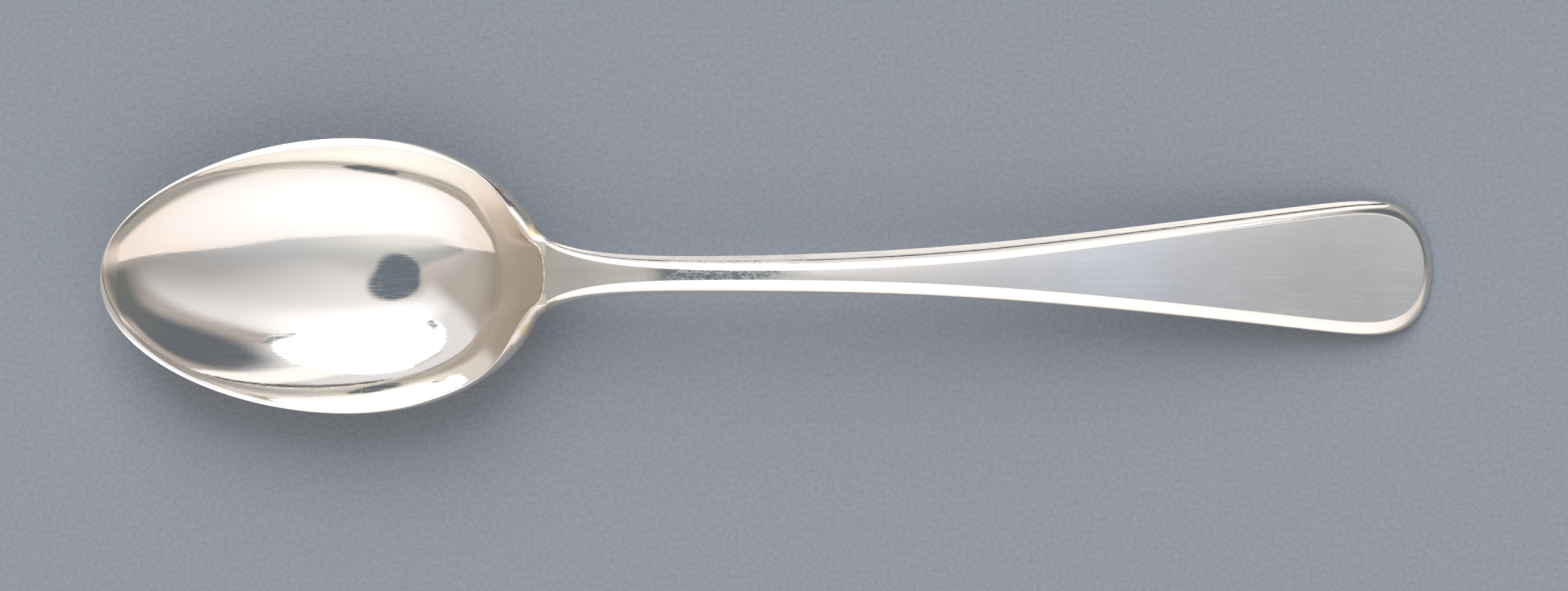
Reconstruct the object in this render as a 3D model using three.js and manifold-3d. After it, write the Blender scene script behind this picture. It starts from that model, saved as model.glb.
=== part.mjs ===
// A silver tablespoon in the plain rounded-end pattern: an egg-shaped bowl, a forged stem with bevelled
// upper edges, the drop under the bowl, and the hard solder that joins them.
// Millimetres, +Z up. Stations along the spoon count from the bowl's tip. The meshes are then moved back
// by half the length, so the origin lies on the table under the spoon's middle.

import * as THREE from "three";
import { mergeVertices } from "three/addons/utils/BufferGeometryUtils.js";
import Module from "manifold-3d";

const wasm = await Module();
wasm.setup();

// The whole spoon
const overallLength = 210;
const bowlLength = 70.3; // tip to the joint with the stem
const solderFilm = 0.3; // solder between the bowl and the stem
const solderBead = 0.12; // solder standing proud round the joint

// The bowl
const bowlWidth = 43.6;
const bowlWidestAt = 39.2; // from the tip
const rimAtTip = 1.1; // width of the rim seen from above
const rimAtSide = 1.35;
const rimAtSeam = 0.25; // rim left between the hollow and the joint
const rimEdgeDrop = 0.45; // the rim's outer edge lies this far below its inner edge
const rimThickness = 1;
const rimUndercut = 0.25; // the wall leaves the rim's edge this far inside it
const hollowDepth = 9.6; // below the rim, at the widest station
const bottomWall = 1;
const rimLowAt = 38; // station where the rim dips lowest
const tipRise = 1.4; // rim height gained from there to the tip
const neckRise = 2.2; // and to the joint
const wornFlat = 0.2; // worn off the bottom, where the spoon rests

// The neck, where the bowl draws in to the stem
const neckReach = 6.2; // how far the neck would run past the egg
const neckThickness = 3.4; // bowl metal at the joint
const neckTuck = 0.7; // the neck's underside is this much narrower on each side
const dropLength = 10.5; // joint to the drop's tip
const dropWidth = 8.2;
const dropThickness = 1.1;
const dropEdge = 0.35; // thickness left at the drop's border
const dropTipRound = 3.4;
const dropGap = 0.3; // solder between the drop and the bowl

// The stem
const waistWidth = 5.35;
const endWidth = 20.96;
const endWideLength = 10; // from the end back to the broadest part
const endRoundLength = 25; // from the end back to where its rounding begins
const flankLength = 79; // from the end back to where the straight flanks would meet the waist
const flankBlend = 12; // length over which they curve away from it
const neckTaper = 2.2; // half-width lost slowly behind the joint
const neckTaperLength = 5.6;
const neckFillet = 1.8; // the rest is lost over this length
const bevelWidth = 2.05;
const endBevel = 1.4;
const underBevel = 1.5;
const underEndBevel = 0.8;
const waistThickness = 3.5;
const endThickness = 2;
const thinningLength = 9; // over which the root thins to the waist
const endSlope = -0.19; // the end is turned down

// Ratios of the curves
const hollowRound = 0.4; // share of the hollow that is a plain bowl; the rest keeps its floor flat
const hollowLean = 0.26; // how far the deepest point leans towards the neck
const shoulderPinch = 0.33; // how far the hollow is drawn in at the shoulders
const shoulderTurn = 0.471; // where, as an angle from the stem
const shoulderSpread = 0.253;
const neckTurn = 0.24; // half-angle of the neck
const neckPower = 4.54;
const neckBlend = 0.56; // half-angle over which the rim thickens to the neck
const neckBlendPower = 4;
const neckFade = 6; // how fast the neck's thickness fades towards the bowl's middle
const reachFade = 8;
const domePower = 4; // flatness of the drop's face across it
const tipPower = 6; // and along it
const endPower = 5.7;
const thinningPower = 1.3;
const edgeShare = 0.5; // the broadest line lies at this share of the thickness
const bevelLean = 0.25; // share of a bevel that is a straight slope
const crownShare = 0.02; // rise of the stem's flat top, for its half-width

// Facets
const bowlColumns = 84;
const columnCrowding = 0.6; // more of them at the neck
const hollowRings = 9;
const stemColumns = 40;
const dropColumns = 6;
const dropRows = 8;
const bandSteps = [0.35, 0.62, 0.82, 0.94, 1];
const edgeSteps = [0.33, 0.66, 1];
const topSteps = [0, 0.5, 1];
const dropRowCrowding = 1.5; // more of them at the tip
const joinDistance = 1e-4;
const keelSteps = 100; // samples of the bowl's lowest line, each way from its middle

const seamAt = bowlLength;
const stemAt = seamAt + solderFilm;
const endWideAt = overallLength - endWideLength;
const endRoundFrom = overallLength - endRoundLength;
const flankStart = overallLength - flankLength;
const rootThickness = neckThickness + dropGap + dropThickness;

const mix = (a, b, share) => a + (b - a) * share;
const swell = (value, spread, power) => Math.exp(-((Math.abs(value) / spread) ** power));
const bevelDrop = (share) => bevelLean * share + (1 - bevelLean) * (1 - Math.sqrt(1 - share ** 2));

// Finds where a rising function of one number reaches a target.
function findRise(rise, low, high, target) {
  let [from, to] = [low, high];
  for (let step = 0; step < 50; step += 1) {
    const half = (from + to) / 2;
    if (rise(half) < target) from = half;
    else to = half;
  }
  return from;
}

// A point inside an egg outline: reach runs from 0 at its centre to 1 at its edge, and turn is the angle
// from the stem's direction.
function eggPoint(egg, reach, turn) {
  const along = reach * Math.cos(turn);
  const middle = (egg.tip + egg.back) / 2;
  const skew = (middle - egg.widest) / 2;
  const x = egg.widest + ((egg.back - egg.tip) / 2) * along + 2 * skew * along ** 2;
  return { along, x, y: egg.half * reach * Math.sin(turn) };
}

const outerEgg = { tip: 0, back: bowlLength, widest: bowlWidestAt, half: bowlWidth / 2 };
const hollowEgg = {
  tip: rimAtTip,
  back: seamAt - rimAtSeam,
  widest: bowlWidestAt,
  half: bowlWidth / 2 - rimAtSide,
};
const underEgg = {
  tip: rimUndercut,
  back: bowlLength - rimUndercut,
  widest: bowlWidestAt,
  half: bowlWidth / 2 - rimUndercut,
};

// How far the rim has risen above its lowest point, a cubic through the tip and the joint.
const rimBend = (neckRise / (seamAt - rimLowAt) ** 2 - tipRise / rimLowAt ** 2) / seamAt;
const rimCurve = tipRise / rimLowAt ** 2 + rimBend * rimLowAt;
const rimRise = (x) => rimCurve * (x - rimLowAt) ** 2 + rimBend * (x - rimLowAt) ** 3;
const rimSlope = (x) => 2 * rimCurve * (x - rimLowAt) + 3 * rimBend * (x - rimLowAt) ** 2;

// The hollow's depth below the rim, as a share of its depth at the widest station.
function dishShare(reach, along) {
  const dish = 1 - hollowRound * reach ** 2 - (1 - hollowRound) * reach ** 4;
  return dish * (1 + hollowLean * along);
}

// The rim's height is set so that the worn bottom lies on the table.
const underDepth = hollowDepth + bottomWall - rimThickness;
const keelHeights = Array.from({ length: 2 * keelSteps + 1 }, (unused, step) => {
  const reach = step / keelSteps - 1;
  const { x, along } = eggPoint(underEgg, reach, 0);
  return rimRise(x) - rimThickness - underDepth * dishShare(reach, along);
});
const rimLow = -Math.min(...keelHeights) - wornFlat;
const rimHeight = (x) => rimLow + rimRise(x);

const neckShare = (turn) => swell(turn, neckBlend, neckBlendPower);
const neckExtra = (turn) => neckReach * swell(turn, neckTurn, neckPower);
const edgeDrop = (turn) => mix(rimEdgeDrop, rootThickness * edgeShare, neckShare(turn));

function hollowPoint(reach, turn) {
  const { x, y, along } = eggPoint(hollowEgg, reach, turn);
  const pinch = shoulderPinch * swell(Math.abs(turn) - shoulderTurn, shoulderSpread, 2) * reach ** neckFade;
  const z = rimHeight(x) - hollowDepth * dishShare(reach, along);
  return new THREE.Vector3(x, y * (1 - pinch), z);
}

function edgePoint(turn) {
  const { x, y } = eggPoint(outerEgg, 1, turn);
  const out = x + neckExtra(turn);
  return new THREE.Vector3(out, y, rimHeight(out) - edgeDrop(turn));
}

// The rim's upper face, from the hollow (share 0) to the bowl's outer edge (share 1).
function rimPoint(share, turn) {
  const point = hollowPoint(1, turn);
  const edge = edgePoint(turn);
  const width = Math.hypot(edge.x - point.x, edge.y - point.y);
  const bevel = Math.min(width, bevelWidth);
  point.lerp(edge, share);
  point.z = rimHeight(point.x) - edgeDrop(turn) * bevelDrop(Math.max(0, 1 - ((1 - share) * width) / bevel));
  return point;
}

function underPoint(reach, turn) {
  const { x, y, along } = eggPoint(underEgg, reach, turn);
  const near = neckShare(turn) * reach ** neckFade;
  const out = x + neckExtra(turn) * reach ** reachFade;
  const tuck = (neckTuck / neckHalf) * near;
  const z = rimHeight(out) - mix(rimThickness, neckThickness, near) - underDepth * dishShare(reach, along);
  return new THREE.Vector3(out, y * (1 - tuck), Math.max(0, z));
}

// The rounding below the broadest line, from it (share 0) to the underside (share 1).
function turnUnder(edge, under, share) {
  const corner = new THREE.Vector3(edge.x, edge.y, mix(edge.z, under.z, edgeShare));
  return new THREE.QuadraticBezierCurve3(edge, corner, under).getPoint(share);
}

// The bowl's edge crosses the joint here, and the stem starts with that half-width.
const seamTurn = findRise((turn) => -edgePoint(turn).x, 0, neckBlend, -seamAt);
const neckHalf = edgePoint(seamTurn).y;

// A closed skin over rings of points. Points that coincide are joined, and faces of no area left out.
function skin(rings) {
  const count = rings[0].length;
  const faces = [];
  for (let ring = 1; ring < rings.length; ring += 1) {
    for (let column = 0; column < count; column += 1) {
      const next = (column + 1) % count;
      const [a, b] = [(ring - 1) * count + column, (ring - 1) * count + next];
      const [c, d] = [ring * count + next, ring * count + column];
      faces.push(a, c, b, a, d, c);
    }
  }
  const raw = new THREE.BufferGeometry();
  const points = rings.flat().flatMap((point) => point.toArray());
  raw.setAttribute("position", new THREE.Float32BufferAttribute(points, 3));
  raw.setIndex(faces);
  const joined = mergeVertices(raw, joinDistance);
  const corners = Array.from(joined.index.array);
  const kept = [];
  for (let at = 0; at < corners.length; at += 3) {
    const [a, b, c] = corners.slice(at, at + 3);
    if (a !== b && b !== c && c !== a) kept.push(a, b, c);
  }
  joined.setIndex(kept);
  return joined;
}

function toSolid(geometry) {
  const mesh = new wasm.Mesh({
    numProp: 3,
    vertProperties: new Float32Array(geometry.attributes.position.array),
    triVerts: new Uint32Array(geometry.index.array),
  });
  return new wasm.Manifold(mesh);
}

function toGeometry(body) {
  const mesh = body.getMesh();
  const geometry = new THREE.BufferGeometry();
  geometry.setAttribute("position", new THREE.Float32BufferAttribute(mesh.vertProperties, 3));
  geometry.setIndex(Array.from(mesh.triVerts));
  return geometry;
}

// Cuts a piece off square at the joint.
function cutAtSeam(geometry) {
  const beyond = new THREE.BoxGeometry(overallLength, overallLength, overallLength);
  beyond.translate(seamAt + overallLength / 2, 0, 0);
  beyond.deleteAttribute("normal");
  beyond.deleteAttribute("uv");
  return toGeometry(toSolid(geometry).subtract(toSolid(mergeVertices(beyond))));
}

function makeBowl() {
  const turns = Array.from({ length: bowlColumns }, (unused, column) => {
    const around = (2 * Math.PI * column) / bowlColumns - Math.PI;
    return around - columnCrowding * Math.sin(around);
  });
  const rings = [];
  for (let ring = 0; ring <= hollowRings; ring += 1) {
    rings.push(turns.map((turn) => hollowPoint(ring / hollowRings, turn)));
  }
  for (const share of bandSteps) rings.push(turns.map((turn) => rimPoint(share, turn)));
  for (const share of edgeSteps) {
    rings.push(turns.map((turn) => turnUnder(edgePoint(turn), underPoint(1, turn), share)));
  }
  for (let ring = hollowRings - 1; ring >= 0; ring -= 1) {
    rings.push(turns.map((turn) => underPoint(ring / hollowRings, turn)));
  }
  return cutAtSeam(skin(rings));
}

// The stem's top line: it leaves the joint as the rim arrives there, arches, and comes down until the back
// touches the table just inside the end.
function topHeight(x) {
  const length = overallLength - seamAt;
  const share = (x - seamAt) / length;
  const [start, end] = [rimHeight(seamAt), endThickness + endSlope * underEndBevel];
  const settled = share ** 2 * (3 - 2 * share);
  const leaving = share * (1 - share) ** 2 * rimSlope(seamAt) * length;
  const arriving = share ** 2 * (share - 1) * endSlope * length;
  return mix(start, end, settled) + leaving + arriving;
}

function stemThickness(x) {
  const share = (x - seamAt) / (overallLength - seamAt);
  const root = (rootThickness - waistThickness) * Math.exp(-(x - seamAt) / thinningLength);
  return endThickness + (waistThickness - endThickness) * (1 - share) ** thinningPower + root;
}

const flankRun = (x) => flankBlend * Math.log(1 + Math.exp((x - flankStart) / flankBlend));

// The rounding of the end: a factor on the half-width that falls to 0 at the given station.
function endRound(x, end) {
  const share = Math.min(1, Math.max(0, (x - endRoundFrom) / (end - endRoundFrom)));
  return Math.sqrt(1 - share ** endPower);
}

// The stem's half-width, drawn in by an inset on the sides and rounded off at the given end station.
function stemHalf(x, inset, end) {
  const broad = endWidth / 2 / endRound(endWideAt, overallLength);
  const flank = ((broad - waistWidth / 2) * flankRun(x)) / flankRun(endWideAt);
  const slow = neckTaper * Math.exp(-(x - seamAt) / neckTaperLength);
  const quick = (neckHalf - waistWidth / 2 - neckTaper) * Math.exp(-(x - seamAt) / neckFillet);
  return (waistWidth / 2 + flank + slow + quick - inset) * endRound(x, end);
}

// A point of one of the stem's outlines, at a share of the way from the joint to that outline's end.
function outlinePoint(share, inset, endInset) {
  const end = overallLength - endInset;
  const x = mix(stemAt, end, share);
  return { x, half: stemHalf(x, inset, end) };
}

// A line of points over the stem, from the middle of its flat top across the bevel and round the edge to
// the middle of its back. Side is 1 or -1.
function stemLine(share, side) {
  const flat = outlinePoint(share, bevelWidth, endBevel);
  const edge = outlinePoint(share, 0, 0);
  const back = outlinePoint(share, underBevel, underEndBevel);
  const crown = crownShare * flat.half;
  const topPoint = (part) => {
    return new THREE.Vector3(flat.x, side * part * flat.half, topHeight(flat.x) - crown * part ** 2);
  };
  const bevelPoint = (part) => {
    const x = mix(flat.x, edge.x, part);
    const drop = crown + stemThickness(x) * edgeShare * bevelDrop(part);
    return new THREE.Vector3(x, side * mix(flat.half, edge.half, part), topHeight(x) - drop);
  };
  const backPoint = (part) => {
    return new THREE.Vector3(back.x, side * part * back.half, topHeight(back.x) - stemThickness(back.x));
  };
  const rounding = edgeSteps.map((part) => turnUnder(bevelPoint(1), backPoint(1), part));
  return [...topSteps.map(topPoint), ...bandSteps.map(bevelPoint), ...rounding, backPoint(0)];
}

// The lines follow the outline from one side of the root round the end to the other side, and the skin
// closes the root's face between the first and the last.
function makeStem() {
  const shares = Array.from({ length: stemColumns + 1 }, (unused, column) => {
    return (1 - Math.cos((Math.PI * column) / stemColumns)) / 2;
  });
  const lines = shares.map((share) => stemLine(share, -1));
  lines.push(...shares.slice(0, -1).reverse().map((share) => stemLine(share, 1)));
  return skin(lines[0].map((unused, row) => lines.map((line) => line[row])));
}

// The solder fills the joint over the root's whole section and stands a little proud of it.
function makeSolder() {
  const half = stemHalf(stemAt, 0, overallLength);
  const middle = topHeight(stemAt) - stemThickness(stemAt) * edgeShare;
  const [wider, higher] = [1 + solderBead / half, 1 + solderBead / (stemThickness(stemAt) * edgeShare)];
  const section = [...stemLine(0, 1), ...stemLine(0, -1).reverse().slice(1, -1)];
  const corners = section.map(({ y, z }) => new THREE.Vector2(y * wider, mix(middle, z, higher)));
  const outline = new THREE.Shape(corners);
  const film = new THREE.ExtrudeGeometry(outline, { depth: solderFilm, bevelEnabled: false });
  const across = new THREE.Vector3(0, 1, 0);
  const up = new THREE.Vector3(0, 0, 1);
  const alongStem = new THREE.Vector3(1, 0, 0);
  film.applyMatrix4(new THREE.Matrix4().makeBasis(across, up, alongStem));
  return film.translate(seamAt, 0, 0);
}

// The drop lies along the bowl's underside, with a domed face and a rounded tip.
function makeDrop() {
  const sideTurn = Math.asin(dropWidth / 2 / underEgg.half);
  const reachAt = (station) => findRise((reach) => eggPoint(underEgg, reach, 0).x, 0, 1, station);
  const tipReach = reachAt(seamAt - dropLength);
  const cornerReach = reachAt(seamAt - dropLength + dropTipRound);
  const dropPoint = (side, along, face) => {
    const start = mix(cornerReach, tipReach, Math.sqrt(1 - side ** 2));
    const point = underPoint(mix(start, 1, along), side * sideTurn);
    const dome = (1 - side ** domePower) * (1 - (1 - along) ** tipPower);
    point.z -= dropGap + face * mix(dropEdge, dropThickness, dome);
    return point;
  };
  const ringAt = (along, upper, lower) => {
    const sides = Array.from({ length: 2 * dropColumns + 1 }, (unused, column) => column / dropColumns - 1);
    const top = sides.map((side) => dropPoint(side, along, upper));
    const bottom = sides.reverse().map((side) => dropPoint(side, along, lower));
    return [...top, ...bottom];
  };
  const rings = [ringAt(0, 0.5, 0.5)];
  for (let row = 0; row <= dropRows; row += 1) rings.push(ringAt((row / dropRows) ** dropRowCrowding, 0, 1));
  rings.push(ringAt(1, 0.5, 0.5));
  return cutAtSeam(skin(rings));
}

function addPiece(group, name, geometry, colour, roughness) {
  const material = new THREE.MeshStandardMaterial({ color: colour, roughness, metalness: 1 });
  const mesh = new THREE.Mesh(geometry, material);
  mesh.name = name;
  mesh.position.x = -overallLength / 2;
  group.add(mesh);
}

const spoon = new THREE.Group();
addPiece(spoon, "bowl", makeBowl(), 0xdedad3, 0.16);
addPiece(spoon, "stem", makeStem(), 0xd9d7d4, 0.2);
addPiece(spoon, "heel_drop", makeDrop(), 0xd6d3cd, 0.2);
addPiece(spoon, "solder_seam", makeSolder(), 0xc3b08f, 0.34);

export default spoon;
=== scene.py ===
import math
from types import SimpleNamespace

import bmesh
import bpy
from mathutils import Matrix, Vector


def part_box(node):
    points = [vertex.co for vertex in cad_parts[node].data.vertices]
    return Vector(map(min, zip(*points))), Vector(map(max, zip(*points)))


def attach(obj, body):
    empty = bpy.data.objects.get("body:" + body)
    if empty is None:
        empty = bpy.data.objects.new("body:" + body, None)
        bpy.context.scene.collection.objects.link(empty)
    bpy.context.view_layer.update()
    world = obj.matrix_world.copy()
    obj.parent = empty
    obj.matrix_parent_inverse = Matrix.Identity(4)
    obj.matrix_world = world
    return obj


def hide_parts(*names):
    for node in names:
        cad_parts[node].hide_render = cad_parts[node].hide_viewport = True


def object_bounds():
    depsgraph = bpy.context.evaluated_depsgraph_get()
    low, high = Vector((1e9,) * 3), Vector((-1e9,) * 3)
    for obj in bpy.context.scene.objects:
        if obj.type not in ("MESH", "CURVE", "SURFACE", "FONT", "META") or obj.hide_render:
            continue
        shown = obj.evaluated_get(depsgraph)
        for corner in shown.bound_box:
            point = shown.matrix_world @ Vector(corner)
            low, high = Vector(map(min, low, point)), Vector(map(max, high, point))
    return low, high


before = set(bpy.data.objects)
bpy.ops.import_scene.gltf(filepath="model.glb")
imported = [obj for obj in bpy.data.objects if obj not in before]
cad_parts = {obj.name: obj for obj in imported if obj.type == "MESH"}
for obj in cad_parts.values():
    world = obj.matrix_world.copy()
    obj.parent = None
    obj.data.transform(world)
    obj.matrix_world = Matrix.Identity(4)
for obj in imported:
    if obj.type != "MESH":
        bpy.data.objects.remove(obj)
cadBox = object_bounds()
print("frame loaded:", sorted(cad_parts))

# Shapes are worked out in millimetres, with stations along the spoon counted from the bowl's tip.
mm = 0.001
tipX = cadBox[0].x
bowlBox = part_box("bowl")
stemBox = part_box("stem")


def measure(low, high):
    return (high - low) / mm


spoonLength = measure(cadBox[0].x, cadBox[1].x)
seamAt = measure(tipX, bowlBox[1].x)  # where the bowl ends
stemAt = measure(tipX, stemBox[0].x)  # where the stem begins, past the solder


# A value that varies over a mesh or a surface: arithmetic on it adds Math nodes to its tree
class Field:
    def __init__(self, tree, socket, made):
        self.tree = tree
        self.socket = socket
        self.made = made  # the nodes of this tree so far, so that no sum is made twice

    def __add__(self, other):
        return mathNode("ADD", self, other)

    def __sub__(self, other):
        return mathNode("SUBTRACT", self, other)

    def __rsub__(self, other):
        return mathNode("SUBTRACT", other, self)

    def __mul__(self, other):
        return mathNode("MULTIPLY", self, other)

    def __truediv__(self, other):
        return mathNode("DIVIDE", self, other)

    def __pow__(self, other):
        return mathNode("POWER", self, other)

    def __rpow__(self, other):
        return mathNode("POWER", other, self)

    def __neg__(self):
        return mathNode("MULTIPLY", self, -1.0)

    __radd__ = __add__
    __rmul__ = __mul__


def mathNode(operation, *values):
    first = next(value for value in values if isinstance(value, Field))
    key = (operation, *[value if isinstance(value, Field) else float(value) for value in values])
    if key not in first.made:
        node = first.tree.nodes.new("ShaderNodeMath")
        node.operation = operation
        for slot, value in zip(node.inputs, values):
            feed(first.tree, slot, value)
        first.made[key] = Field(first.tree, node.outputs[0], first.made)
    return first.made[key]


def feed(tree, slot, value):
    if isinstance(value, Field):
        tree.links.new(value.socket, slot)
    else:
        slot.default_value = value


# The same formulas serve plain numbers and fields
def forBoth(operation, plain):
    def call(*values):
        if any(isinstance(value, Field) for value in values):
            return mathNode(operation, *values)
        return plain(*values)
    return call


sineOf = forBoth("SINE", math.sin)
cosineOf = forBoth("COSINE", math.cos)
expOf = forBoth("EXPONENT", math.exp)
logOf = forBoth("LOGARITHM", math.log)
rootOf = forBoth("SQRT", math.sqrt)
tanhOf = forBoth("TANH", math.tanh)
sizeOf = forBoth("ABSOLUTE", abs)
larger = forBoth("MAXIMUM", max)
smaller = forBoth("MINIMUM", min)


def mix(start, end, share):
    return start + (end - start) * share


bellPower = 2
plateauPower = 6


# 1 at zero, falling away past the spread; a higher power holds longer and falls faster
def swell(value, spread, power):
    return expOf(-((sizeOf(value) / spread) ** power))


def mixPoints(first, second, share):
    return [mix(a, b, share) for a, b in zip(first, second)]


# A curve from start to end that leaves and arrives by way of the corner
def bend(start, corner, end, share):
    return mixPoints(mixPoints(start, corner, share), mixPoints(corner, end, share), share)


halvings = 50


# Where a rising formula reaches the target
def findRise(rise, low, high, target):
    for step in range(halvings):
        half = (low + high) / 2
        low, high = (half, high) if rise(half) < target else (low, half)
    return low


# Trees for the pieces: each size is a named input
def startTree(name, sizes):
    tree = bpy.data.node_groups.new(name, "GeometryNodeTree")
    tree.interface.new_socket("Geometry", in_out="INPUT", socket_type="NodeSocketGeometry")
    tree.interface.new_socket("Geometry", in_out="OUTPUT", socket_type="NodeSocketGeometry")
    for key in sizes:
        tree.interface.new_socket(key, in_out="INPUT", socket_type="NodeSocketFloat")
    inputs = tree.nodes.new("NodeGroupInput")
    made = {}
    return tree, SimpleNamespace(**{key: Field(tree, inputs.outputs[key], made) for key in sizes})


edgeCrowding = 1.6  # crowds a sheet's rows towards a sharp edge
mergeReach = 0.0008  # sheets are joined where their points are this near


# A sheet of quads whose points come from pointAt(across, along), both running from 0 to 1
def addSheet(tree, columns, rows, pointAt):
    grid = tree.nodes.new("GeometryNodeMeshGrid")
    for slot, value in zip(grid.inputs, (1.0, 1.0, columns + 1, rows + 1)):
        slot.default_value = value
    split = tree.nodes.new("ShaderNodeSeparateXYZ")
    tree.links.new(tree.nodes.new("GeometryNodeInputPosition").outputs[0], split.inputs[0])
    made = {}
    x, y, z = pointAt(*[Field(tree, split.outputs[axis], made) + 0.5 for axis in "XY"])
    place = tree.nodes.new("ShaderNodeCombineXYZ")
    for slot, value in zip(place.inputs, (x * mm + tipX, y * mm, z * mm)):
        feed(tree, slot, value)
    move = tree.nodes.new("GeometryNodeSetPosition")
    tree.links.new(grid.outputs["Mesh"], move.inputs["Geometry"])
    tree.links.new(place.outputs[0], move.inputs["Position"])
    return move.outputs[0]


def endTree(tree, sheets, material):
    join = tree.nodes.new("GeometryNodeJoinGeometry")
    for sheet in sheets:
        tree.links.new(sheet, join.inputs[0])
    merge = tree.nodes.new("GeometryNodeMergeByDistance")
    merge.inputs["Distance"].default_value = mergeReach * mm
    smooth = tree.nodes.new("GeometryNodeSetShadeSmooth")
    realize = tree.nodes.new("GeometryNodeRealizeInstances")
    paint = tree.nodes.new("GeometryNodeSetMaterial")
    paint.inputs["Material"].default_value = material
    last = join
    for node in (merge, smooth, realize, paint, tree.nodes.new("NodeGroupOutput")):
        tree.links.new(last.outputs[0], node.inputs[0])
        last = node


def runTree(tree, sizes, name):
    piece = bpy.data.objects.new(name, bpy.data.meshes.new(name))
    bpy.context.scene.collection.objects.link(piece)
    modifier = piece.modifiers.new(name, "NODES")
    modifier.node_group = tree
    for item in tree.interface.items_tree:
        if item.in_out == "INPUT" and item.name in sizes:
            modifier[item.identifier] = float(sizes[item.name])
    shown = piece.evaluated_get(bpy.context.evaluated_depsgraph_get())
    mesh = bpy.data.meshes.new_from_object(shown)
    piece.modifiers.remove(modifier)
    piece.data = mesh
    print(name, "has", len(mesh.polygons), "faces")
    return piece


# Cuts a piece off square at a station and closes it there with sharp corners
def closeAt(piece, station, cut):
    shape = bmesh.new()
    shape.from_mesh(piece.data)
    if cut:
        everything = shape.verts[:] + shape.edges[:] + shape.faces[:]
        bmesh.ops.bisect_plane(shape, geom=everything, plane_co=(tipX + station * mm, 0, 0),
                               plane_no=(1, 0, 0), clear_outer=True)
    border = [edge for edge in shape.edges if edge.is_boundary]
    for edge in border:
        edge.smooth = False
    for face in bmesh.ops.edgeloop_fill(shape, edges=border)["faces"]:
        face.smooth = False
    bmesh.ops.recalc_face_normals(shape, faces=shape.faces[:])
    shape.to_mesh(piece.data)
    shape.free()


def addNode(tree, kind, settings=None, **links):
    node = tree.nodes.new(kind)
    for key, value in (settings or {}).items():
        setattr(node, key, value)
    for key, value in links.items():
        slot = node.inputs[int(key[1:])] if key[1:].isdigit() else node.inputs[key]
        if isinstance(value, bpy.types.NodeSocket):
            tree.links.new(value, slot)
        else:
            feed(tree, slot, value)
    return node


def paintOver(tree, under, mask, colour):
    node = addNode(tree, "ShaderNodeMix", {"data_type": "RGBA"}, i0=mask, i6=under, i7=(*colour, 1))
    return node.outputs[2]


def softEdge(value, soft):
    share = smaller(larger(value / soft + 0.5, 0.0), 1.0)
    return share * share * (3 - 2 * share)


# Shader groups: coordinates come in as metres on the piece and are used in millimetres
def startGroup(name, values, result):
    tree = bpy.data.node_groups.new(name, "ShaderNodeTree")
    tree.interface.new_socket("Vector", in_out="INPUT", socket_type="NodeSocketVector")
    for key in values:
        tree.interface.new_socket(key, in_out="INPUT", socket_type="NodeSocketFloat")
    tree.interface.new_socket(result, in_out="OUTPUT", socket_type="NodeSocketFloat")
    inputs = tree.nodes.new("NodeGroupInput")
    made = {}
    split = addNode(tree, "ShaderNodeSeparateXYZ", i0=inputs.outputs["Vector"])
    place = [Field(tree, split.outputs[axis], made) / mm for axis in "XYZ"]
    return tree, place, [Field(tree, inputs.outputs[key], made) for key in values]


def endGroup(tree, value):
    tree.links.new(value.socket, tree.nodes.new("NodeGroupOutput").inputs[0])
    return tree


def drawLots(tree, *place):  # three random numbers for a cell
    cell = tree.nodes.new("ShaderNodeCombineXYZ")
    for slot, value in zip(cell.inputs, place):
        feed(tree, slot, value)
    noise = addNode(tree, "ShaderNodeTexWhiteNoise", {"noise_dimensions": "3D"}, Vector=cell.outputs[0])
    split = addNode(tree, "ShaderNodeSeparateColor", i0=noise.outputs["Color"])
    return [Field(tree, split.outputs[axis], place[0].made) for axis in range(3)]


# How far a line strays in its cell, as shares of the cell, and the faintest line's strength
stray = {"place": 0.5, "lean": 0.6, "bowMiddle": 0.08, "faintest": 0.35}
rowSalt = 7  # keeps the draws for rows apart from those for cells
mostShift = 13  # rows are shifted by up to this many cells


# Fine lines, at most one in each cell of a brick pattern, all running about the same way
def makeHairScratches():
    values = ("Turn", "Length", "Spacing", "Width", "Bow", "Share", "Seed")
    tree, at, inputs = startGroup("hairScratches", values, "Mask")
    x, y = at[:2]
    turn, length, spacing, width, bow, share, seed = inputs
    angle = turn * (math.pi / 180)
    along = x * cosineOf(angle) + y * sineOf(angle)
    across = (y * cosineOf(angle) - x * sineOf(angle)) / spacing
    row = mathNode("FLOOR", across)
    shift = drawLots(tree, row, seed, seed + rowSalt)[0]
    run = along / length + shift * mostShift
    column = mathNode("FLOOR", run)
    chance, place, lean = drawLots(tree, row, column, seed)
    run = run - column - 0.5
    line = across - row - 0.5 - (place - 0.5) * stray["place"] - (lean - 0.5) * stray["lean"] * run
    line = line - bow * (chance / share - 0.5) * (run * run - stray["bowMiddle"])
    mask = larger(1 - sizeOf(line) * spacing / width, 0.0)
    ends = larger(1 - (run * run) ** 2 * 16, 0.0)  # fades to nothing half a cell from the middle
    present = mathNode("LESS_THAN", chance, share)
    return endGroup(tree, mask * ends * present * (stray["faintest"] + (1 - stray["faintest"]) * place))


borderBreak = 1.6  # how far a stain's border wanders, as a share of its reach
borderSoft = 0.5


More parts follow.
